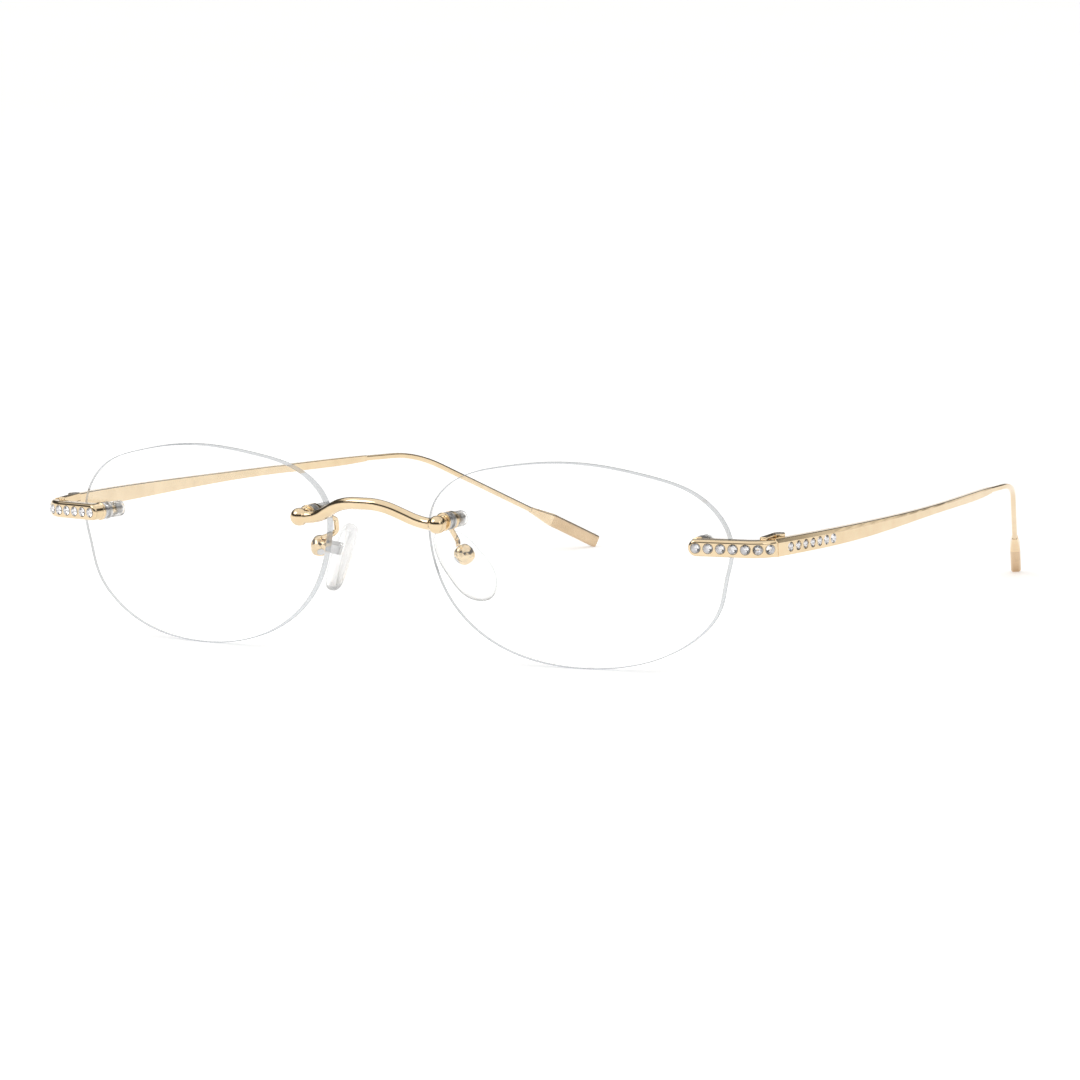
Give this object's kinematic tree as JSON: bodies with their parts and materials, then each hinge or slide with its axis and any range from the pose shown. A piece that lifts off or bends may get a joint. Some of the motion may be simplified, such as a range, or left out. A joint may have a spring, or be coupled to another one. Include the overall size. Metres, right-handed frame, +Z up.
{
  "type": "rimless eyeglasses",
  "caption": "Rimless eyeglasses with clear oval lenses, an arched gold bridge, stone-set endpieces and folding temples that taper to bent wire tips.",
  "frame": {"origin": "on the surface that the glasses stand on, below the middle of the whole pair, seen from above", "axes": "+Z up, -Y forwards out of the lenses, +Y backwards along the temples, +X towards the wearer's left"},
  "size_m": [0.1376, 0.1396, 0.0319],
  "materials": {
    "polished_gold": "polished pale gold plating",
    "brushed_gold": "satin darker gold plating on the collars and tips",
    "lens": "clear and polished, with a ground edge",
    "clear_plastic": "clear moulded plastic",
    "silicone": "soft translucent silicone",
    "crystal": "faceted clear crystal",
    "steel": "plain satin steel"
  },
  "bodies": {
    "front": {"lens_left": "lens", "lens_right": "lens", "bridge": "polished_gold", "bridge_studs": "polished_gold", "endpiece_studs": "polished_gold", "lens_bushes": "clear_plastic", "front_washers": "steel", "rear_washers": "steel", "sleeve_nuts": "clear_plastic", "sleeve_inserts": "steel", "endpiece_left": "polished_gold", "endpiece_right": "polished_gold", "endpiece_stones_left": "crystal", "endpiece_stones_right": "crystal", "hinge_screw_left": "steel", "hinge_screw_right": "steel", "pad_arm_left": "polished_gold", "pad_arm_right": "polished_gold", "pad_box_left": "polished_gold", "pad_box_right": "polished_gold", "pad_screw_left": "steel", "pad_screw_right": "steel"},
    "left_temple": {"temple_left": "polished_gold", "temple_stones_left": "crystal", "tip_collar_left": "brushed_gold", "temple_tip_left": "brushed_gold"},
    "left_pad": {"nose_pad_left": "silicone", "pad_tab_left": "steel"},
    "right_temple": {"temple_right": "polished_gold", "temple_stones_right": "crystal", "tip_collar_right": "brushed_gold", "temple_tip_right": "brushed_gold"},
    "right_pad": {"nose_pad_right": "silicone", "pad_tab_right": "steel"}
  },
  "joints": [
    {"name": "left_temple_fold", "type": "hinge", "parent": "front", "child": "left_temple", "pos_m": [0.0656, -0.05409, 0.02002], "axis": [0, -0.055, 0.9985], "range_deg": [0, 80]},
    {"name": "right_temple_fold", "type": "hinge", "parent": "front", "child": "right_temple", "pos_m": [-0.0656, -0.05409, 0.02002], "axis": [0, 0.055, -0.9985], "range_deg": [0, 74]},
    {"name": "left_pad_swivel", "type": "hinge", "parent": "front", "child": "left_pad", "pos_m": [0.0134, -0.06, 0.01639], "axis": [0.4965, 0.6681, 0.5541], "range_deg": [-6, 6]},
    {"name": "right_pad_swivel", "type": "hinge", "parent": "front", "child": "right_pad", "pos_m": [-0.0134, -0.06, 0.01639], "axis": [0.4965, -0.6681, -0.5541], "range_deg": [-6, 6]}
  ]
}
